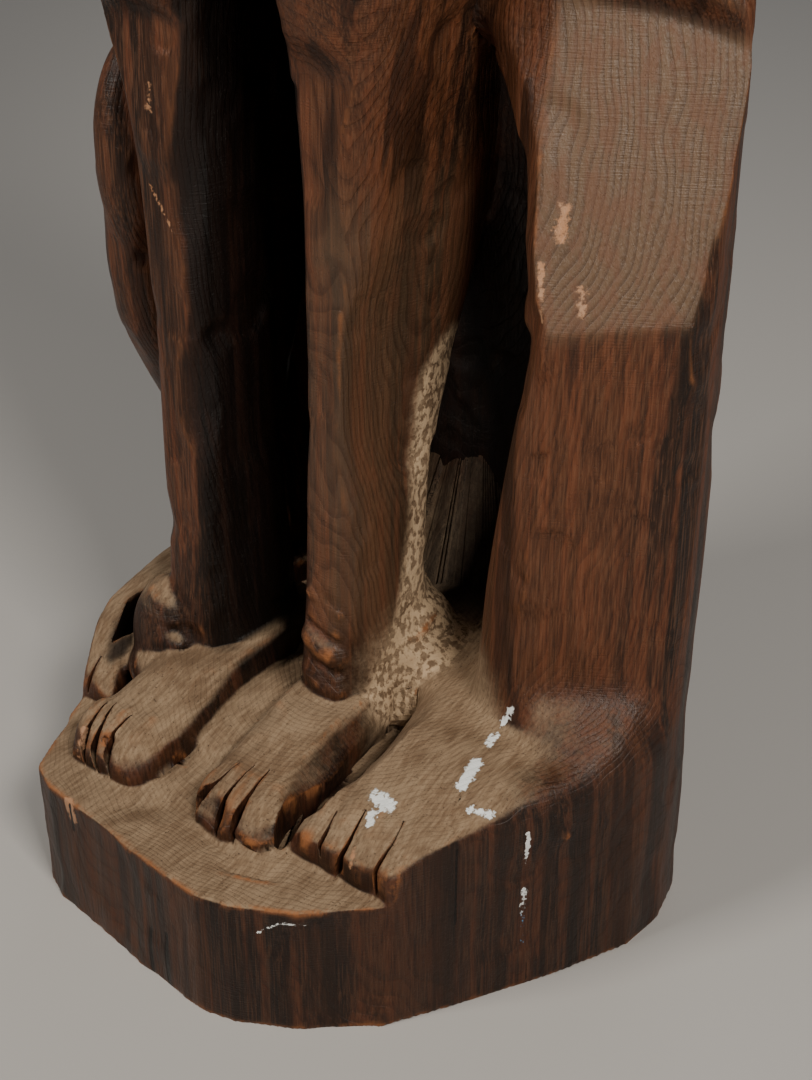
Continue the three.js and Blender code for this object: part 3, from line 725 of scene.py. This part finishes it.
def stained_log(name, ring_spacing, dustiness, gloss):
    material = bpy.data.materials.new(name)
    material.use_nodes = True
    tree = material.node_tree
    shader = tree.nodes["Principled BSDF"]
    wood = placed(tree, grain, Ring_Spacing=ring_spacing)
    tools = placed(tree, tooling, Amount=1.0)["Height"]
    film = placed(tree, dusting, Where=maths(tree, "MULTIPLY", carried(tree, "dust"), dustiness))
    bare = placed(tree, wearing, Edge=carried(tree, "edge"), Amount=0.95)["Bare"]
    near_black = (0.014, 0.0065, 0.004, 1)
    red_brown = (0.082, 0.029, 0.012, 1)
    dark = mixed(tree, ramp(tree, wood["Band"], 0.40, 0.60), near_black, red_brown)
    reddish = maths(tree, "MULTIPLY", ramp(tree, wood["Streak"], 0.44, 0.62), 0.62)
    colour = mixed(tree, reddish, dark, (0.150, 0.046, 0.018, 1))
    colour = mixed(tree, maths(tree, "MULTIPLY", wood["Ring"], 0.32), colour, (0.016, 0.007, 0.004, 1))
    threads = ramp(tree, wood["Fibre"], 0.46, 0.66)
    colour = mixed(tree, maths(tree, "MULTIPLY", threads, 0.3), colour, (0.20, 0.090, 0.045, 1))
    pores = ramp(tree, wood["Fibre"], 0.30, 0.44, 0.45, 0.0)
    colour = mixed(tree, pores, colour, (0.006, 0.003, 0.002, 1))
    level = tree.nodes.new("ShaderNodeSeparateXYZ")
    tree.links.new(stretched(tree, (1, 1, 1)), level.inputs[0])
    foot_dark = ramp(tree, level.outputs["Z"], 0.07, 0.17, 0.5, 0.0)
    colour = mixed(tree, foot_dark, colour, (0.010, 0.0045, 0.0025, 1))
    ribbons = noise(tree, stretched(tree, (75, 75, 2.2), (3, 8, 0)), detail=3, roughness=0.6).outputs["Fac"]
    colour = mixed(tree, ramp(tree, ribbons, 0.52, 0.60, 0.0, 0.62), colour, (0.007, 0.0035, 0.002, 1))
    # The greyed colour serves both the worn pale thigh flat and painted light on the near foreleg's front
    # right face.
    worn_and_painted_light = (0.135, 0.083, 0.048, 1)
    worn_and_painted_ring = (0.058, 0.031, 0.017, 1)
    greyed = mixed(tree, maths(tree, "MULTIPLY", wood["Ring"], 0.6), worn_and_painted_light, worn_and_painted_ring)
    greyed = mixed(tree, maths(tree, "MULTIPLY", reddish, 0.8), greyed, (0.13, 0.055, 0.028, 1))
    pale = maths(tree, "MULTIPLY", carried(tree, "pale"), ramp(tree, wood["Band"], 0.2, 0.5, 0.45, 0.9))
    colour = mixed(tree, pale, colour, greyed)
    # Painted shade: concave hollows are darkened up to 0.6 of the way towards near black.
    painted_hollow_shade = maths(tree, "MULTIPLY", carried(tree, "hollow"), 0.6)
    colour = mixed(tree, painted_hollow_shade, colour, (0.008, 0.004, 0.0025, 1))
    brushed = noise(tree, stretched(tree, (620, 70, 300)), detail=4, roughness=0.65).outputs["Fac"]
    cloudy = noise(tree, stretched(tree, (38, 38, 38), (2, 5, 1)), detail=3).outputs["Fac"]
    brushed = maths(tree, "MULTIPLY", brushed, 0.6)
    brushed = maths(tree, "ADD", brushed, maths(tree, "MULTIPLY", cloudy, 0.4))
    sandy = mixed(tree, ramp(tree, brushed, 0.36, 0.64), (0.150, 0.092, 0.050, 1), (0.300, 0.210, 0.128, 1))
    sandy = mixed(tree, maths(tree, "MULTIPLY", wood["Ring"], 0.12), sandy, (0.09, 0.05, 0.03, 1))
    sandy = mixed(tree, maths(tree, "MULTIPLY", film["Grit"], 0.7), sandy, (0.05, 0.028, 0.016, 1))
    lumps = noise(tree, stretched(tree, (330, 330, 260), (4, 1, 6)), detail=3).outputs["Fac"]
    lumps = ramp(tree, lumps, 0.42, 0.56)
    crumbs = maths(tree, "MULTIPLY", maths(tree, "MULTIPLY", carried(tree, "crumbs"), lumps), 0.85)
    sandy = mixed(tree, crumbs, sandy, (0.62, 0.45, 0.28, 1))
    colour = mixed(tree, maths(tree, "MULTIPLY", film["Film"], 0.9), colour, sandy)
    colour = mixed(tree, bare, colour, (0.27, 0.10, 0.034, 1))
    ragged = noise(tree, stretched(tree, (420, 420, 420)), detail=4, roughness=0.7).outputs["Fac"]
    graze = ramp(tree, maths(tree, "ADD", carried(tree, "graze"), ragged), 1.0, 1.2)
    torn = mixed(tree, wood["Streak"], (0.42, 0.16, 0.05, 1), (0.36, 0.25, 0.17, 1))
    colour = mixed(tree, graze, colour, torn)
    # Painted shade: the carried 'shade' value darkens the gaps between and behind the legs nearly to black.
    painted_shade = maths(tree, "MULTIPLY", carried(tree, "shade"), 0.88)
    colour = mixed(tree, painted_shade, colour, (0.003, 0.0015, 0.001, 1))
    crack = maths(tree, "ADD", carried(tree, "crack"), maths(tree, "MULTIPLY", ragged, 0.5))
    crack = ramp(tree, crack, 0.72, 0.9)
    colour = mixed(tree, crack, colour, (0.004, 0.002, 0.001, 1))
    splash = ramp(tree, maths(tree, "ADD", carried(tree, "paint"), ragged), 1.12, 1.2)
    blue = (0.10, 0.24, 0.40, 1)
    white = (0.78, 0.80, 0.78, 1)
    paint = mixed(tree, ramp(tree, level.outputs["Z"], 0.036, 0.044), blue, white)
    colour = mixed(tree, splash, colour, paint)
    tree.links.new(colour, shader.inputs["Base Color"])
    rough = ramp(tree, wood["Streak"], 0.3, 0.7, gloss, gloss + 0.16)
    rough = maths(tree, "ADD", rough, maths(tree, "MULTIPLY", film["Film"], 0.38))
    rough = maths(tree, "ADD", rough, maths(tree, "MULTIPLY", bare, 0.2), clamp=True)
    tree.links.new(rough, shader.inputs["Roughness"])
    height = maths(tree, "MULTIPLY", wood["Ring"], -0.22)
    height = maths(tree, "ADD", height, maths(tree, "MULTIPLY", wood["Fibre"], 0.35))
    height = maths(tree, "ADD", height, maths(tree, "MULTIPLY", wood["Streak"], 0.35))
    height = maths(tree, "ADD", height, maths(tree, "MULTIPLY", tools, 0.45))
    height = maths(tree, "ADD", height, maths(tree, "MULTIPLY", film["Grit"], -0.25))
    height = maths(tree, "ADD", height, maths(tree, "MULTIPLY", brushed, 0.5))
    height = maths(tree, "ADD", height, maths(tree, "MULTIPLY", splash, 0.35))
    height = maths(tree, "ADD", height, maths(tree, "MULTIPLY", crumbs, 0.6))
    height = maths(tree, "ADD", height, maths(tree, "MULTIPLY", crack, -1.2))
    bump = tree.nodes.new("ShaderNodeBump")
    bump.inputs["Strength"].default_value = 0.6
    bump.inputs["Distance"].default_value = 0.0011
    tree.links.new(height, bump.inputs["Height"])
    tree.links.new(bump.outputs["Normal"], shader.inputs["Normal"])
    shader.inputs["Specular IOR Level"].default_value = 0.32
    return material


log_finish = stained_log("stained_log", 0.0026, 1.0, 0.40)

# ---------------------------------------------------------------- members
# The finished skin is parted face by face into the members it was fused from,
# and each part is closed on its inside and stands for its own solid.
member = neighbours_agree(skin, member_of_faces(skin), rounds=12)
smooth = np.ones(len(member), dtype=bool)
skin.data.polygons.foreach_set("use_smooth", smooth)
outward = skin.data.attributes.new("outward", "FLOAT_VECTOR", "POINT")
outward.data.foreach_set("vector", facings(skin).ravel())
skin.data.materials.clear()
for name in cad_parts:
    skin.data.materials.append(bpy.data.materials.new(name))
skin.data.polygons.foreach_set("material_index", member.astype(np.int32))
as_active(skin)
bpy.ops.object.mode_set(mode="EDIT")
bpy.ops.mesh.select_all(action="SELECT")
bpy.ops.mesh.separate(type="MATERIAL")
bpy.ops.object.mode_set(mode="OBJECT")
parts = list(bpy.context.selected_objects)
LIP = 0.0025
SINK = 0.012


def cap_inside(part):
    """Closes each open rim with a lip turned into the wood and a cone to the middle of the rim."""
    carved_faces = len(part.data.polygons)
    as_active(part)
    bpy.ops.object.mode_set(mode="EDIT")
    bpy.ops.mesh.select_mode(type="EDGE")
    bpy.ops.mesh.select_all(action="DESELECT")
    bpy.ops.mesh.select_non_manifold(extend=False, use_wire=False, use_boundary=True,
                                     use_multi_face=False, use_non_contiguous=False, use_verts=False)
    for step in (LIP, SINK):
        bpy.ops.mesh.extrude_edges_move()
        bpy.ops.object.mode_set(mode="OBJECT")
        picked = np.empty(len(part.data.vertices), dtype=bool)
        part.data.vertices.foreach_get("select", picked)
        outward = np.empty(len(picked) * 3)
        part.data.attributes["outward"].data.foreach_get("vector", outward)
        co = places(part)
        co[picked] -= outward.reshape(-1, 3)[picked] * step
        set_places(part, co)
        bpy.ops.object.mode_set(mode="EDIT")
    bpy.ops.mesh.merge(type="COLLAPSE")
    bpy.ops.mesh.select_all(action="SELECT")
    bpy.ops.mesh.normals_make_consistent(inside=False)
    bpy.ops.object.mode_set(mode="OBJECT")
    return carved_faces


def keep_shading(part, carved_faces):
    """Keeps the whole skin's normals on the carved faces, so that no seam shows between members."""
    corner_count = np.empty(len(part.data.polygons), dtype=np.int32)
    part.data.polygons.foreach_get("loop_total", corner_count)
    corners = np.empty(len(part.data.loops), dtype=np.int32)
    part.data.loops.foreach_get("vertex_index", corners)
    outward = np.empty(len(part.data.vertices) * 3)
    part.data.attributes["outward"].data.foreach_get("vector", outward)
    turned = outward.reshape(-1, 3)[corners]
    turned[corner_count[:carved_faces].sum():] = 0
    part.data.normals_split_custom_set(turned.tolist())
    part.data.attributes.remove(part.data.attributes["outward"])


for part in parts:
    node = part.data.materials[part.data.polygons[0].material_index].name
    part.name = node + "_carved"
    part.data.name = part.name
    part.data.materials.clear()
    part.data.materials.append(log_finish)
    part.data.polygons.foreach_set("material_index", np.zeros(len(part.data.polygons), dtype=np.int32))
    keep_shading(part, cap_inside(part))
    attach(part, "root")
    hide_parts(node)
for material in [m for m in bpy.data.materials if m.users == 0]:
    bpy.data.materials.remove(material)

# ---------------------------------------------------------------- studio
# A plain pale floor, a large soft key from the front right, a softer one from
# the front left, and an even pale surround.
bpy.ops.object.select_all(action="DESELECT")
bpy.ops.mesh.primitive_plane_add(size=14, location=(0, 0, 0))
floor = bpy.context.object
floor.name = "studio_floor"
pale = bpy.data.materials.new("pale_floor")
pale.use_nodes = True
pale.node_tree.nodes["Principled BSDF"].inputs["Base Color"].default_value = (0.42, 0.405, 0.385, 1)
pale.node_tree.nodes["Principled BSDF"].inputs["Roughness"].default_value = 0.85
floor.data.materials.append(pale)


def soft_light(name, azimuth, height, distance, size, power, colour):
    a = math.radians(azimuth)
    place = Vector((math.sin(a) * distance, -math.cos(a) * distance, height))
    bpy.ops.object.light_add(type="AREA", location=place)
    light = bpy.context.object
    light.name = name
    light.data.size = size
    light.data.energy = power
    light.data.color = colour
    light.rotation_euler = (Vector((0, 0, 0.3)) - place).to_track_quat("-Z", "Y").to_euler()
    return light


soft_light("key_right", 62, 1.6, 1.6, 0.5, 38, (1.0, 0.94, 0.86))
soft_light("key_left", -26, 1.7, 1.7, 0.6, 30, (1.0, 0.945, 0.87))
soft_light("back_fill", 200, 2.4, 2.4, 1.6, 9, (0.93, 0.96, 1.0))
world = bpy.data.worlds.new("studio_air")
world.use_nodes = True
world.node_tree.nodes["Background"].inputs["Color"].default_value = (0.78, 0.80, 0.83, 1)
world.node_tree.nodes["Background"].inputs["Strength"].default_value = 0.12
bpy.context.scene.world = world

bpy.context.view_layer.update()
